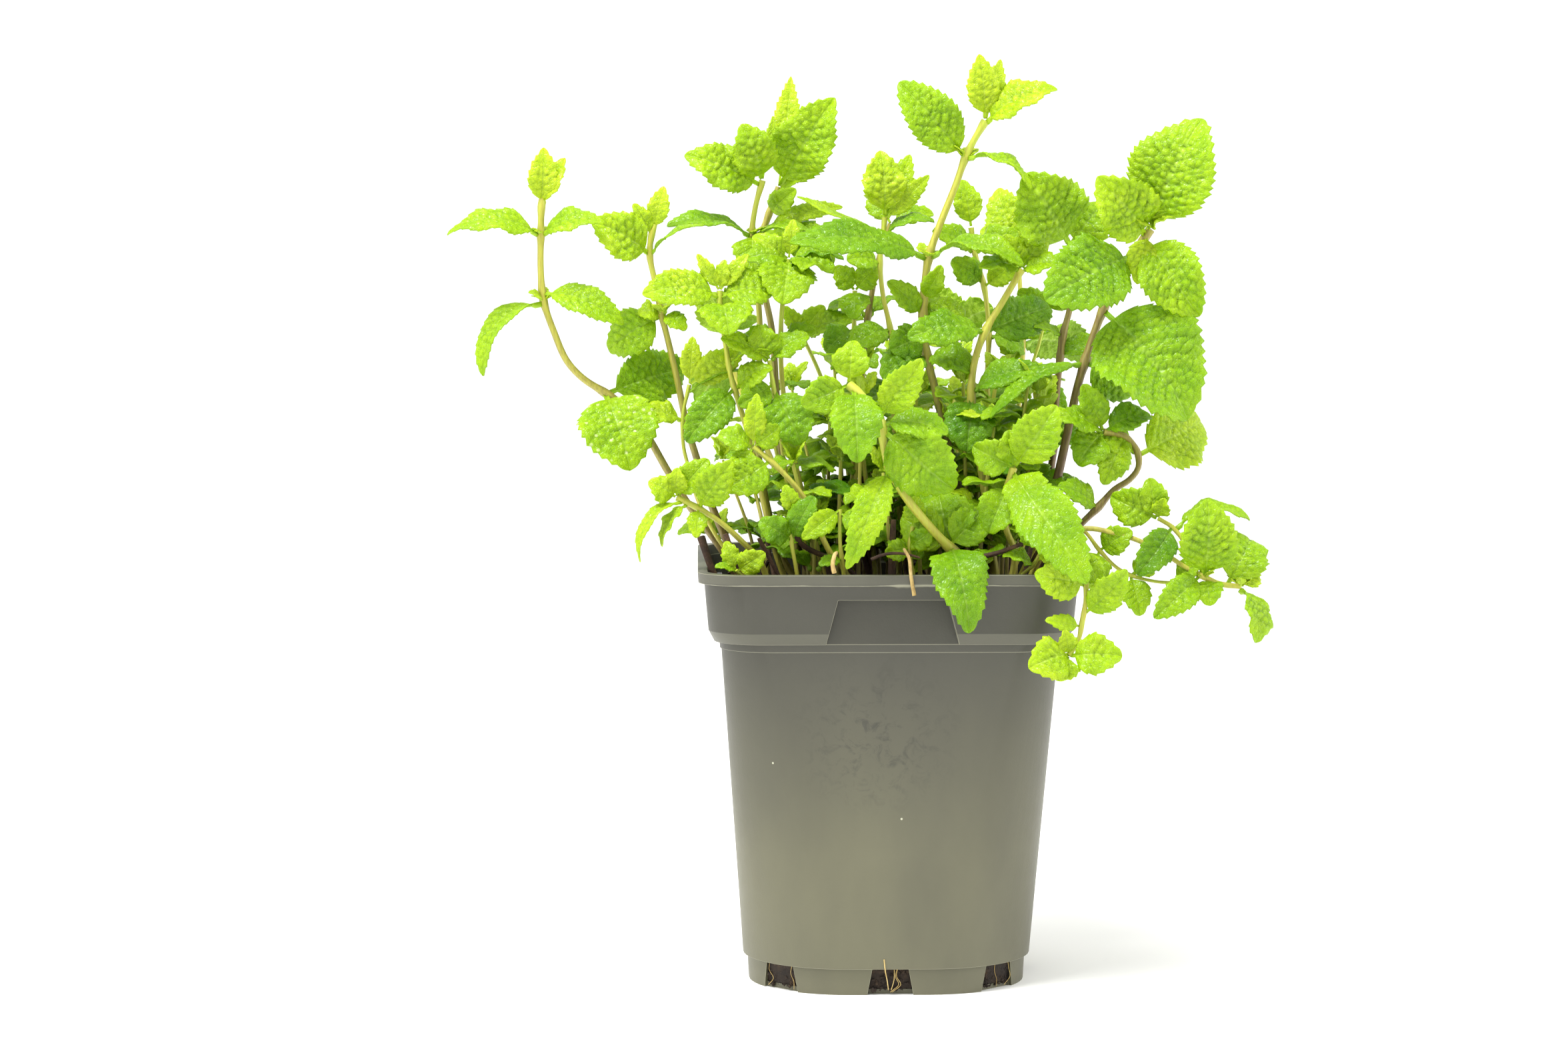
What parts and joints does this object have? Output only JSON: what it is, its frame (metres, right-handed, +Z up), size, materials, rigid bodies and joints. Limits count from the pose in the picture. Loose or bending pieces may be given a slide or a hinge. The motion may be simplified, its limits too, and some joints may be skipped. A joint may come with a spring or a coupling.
{
  "type": "potted mint plant",
  "caption": "Bushy mint plant with upright and trailing shoots, rooted in potting mix in a square tapered nursery pot.",
  "frame": {"origin": "centre of the pot's flat underside, on the surface that the pot stands on", "axes": "+Z up along the pot's axis, -Y out of the pot's front side, +X to the viewer's right"},
  "size_m": [0.232, 0.1483, 0.2642],
  "materials": {
    "pot_plastic": "satin moulded polypropylene, dark olive grey",
    "potting_mix": "moist dark peat with bark bits",
    "stems": "satin ribbed green stem, brown towards the root",
    "leaves": "satin puckered fresh green leaf, paler underneath"
  },
  "bodies": {
    "root": {"leaf_back_left_outer": "leaves", "leaf_back_right_outer": "leaves", "leaf_centre_green_tip": "leaves", "leaf_centre_tall_bud": "leaves", "leaf_centre_tall_long_left": "leaves", "leaf_centre_tall_top_left": "leaves", "leaf_centre_tall_top_right": "leaves", "leaf_corner_trailer_low_left": "leaves", "leaf_corner_trailer_low_right": "leaves", "leaf_front_centre_broad": "leaves", "leaf_front_centre_drooping": "leaves", "leaf_front_centre_over_rim": "leaves", "leaf_front_right_down": "leaves", "leaf_left_inner_upper_left": "leaves", "leaf_left_outer_lower_left": "leaves", "leaf_left_outer_lower_right": "leaves", "leaf_left_outer_mottled": "leaves", "leaf_left_outer_upper_left": "leaves", "leaf_left_outer_upper_right": "leaves", "leaf_left_pair_brown_bud": "leaves", "leaf_left_pair_brown_round": "leaves", "leaf_left_pair_green_top_left": "leaves", "leaf_left_runner_drooping": "leaves", "leaf_right_back_outer": "leaves", "leaf_right_curled_yellow": "leaves", "leaf_right_curved_dark_right": "leaves", "leaf_right_runner_branch_far": "leaves", "leaf_right_runner_end": "leaves", "leaf_right_runner_upright": "leaves", "leaf_right_tall_dark_front": "leaves", "leaf_right_tall_great": "leaves", "leaf_right_tall_lower_right": "leaves", "leaf_right_tall_top_left": "leaves", "leaf_right_tall_top_right": "leaves", "nursery_pot": "pot_plastic", "potting_mix": "potting_mix", "stem_back_left": "stems", "stem_back_right": "stems", "stem_centre_brown": "stems", "stem_centre_green": "stems", "stem_centre_tall": "stems", "stem_corner_trailer": "stems", "stem_front_centre": "stems", "stem_front_right": "stems", "stem_left_front": "stems", "stem_left_inner": "stems", "stem_left_middle": "stems", "stem_left_of_centre": "stems", "stem_left_outer": "stems", "stem_left_pair_brown": "stems", "stem_left_pair_green": "stems", "stem_left_runner": "stems", "stem_right_back": "stems", "stem_right_brown": "stems", "stem_right_curled": "stems", "stem_right_curved": "stems", "stem_right_of_centre": "stems", "stem_right_runner": "stems", "stem_right_runner_branch": "stems", "stem_right_tall": "stems"}
  },
  "joints": []
}
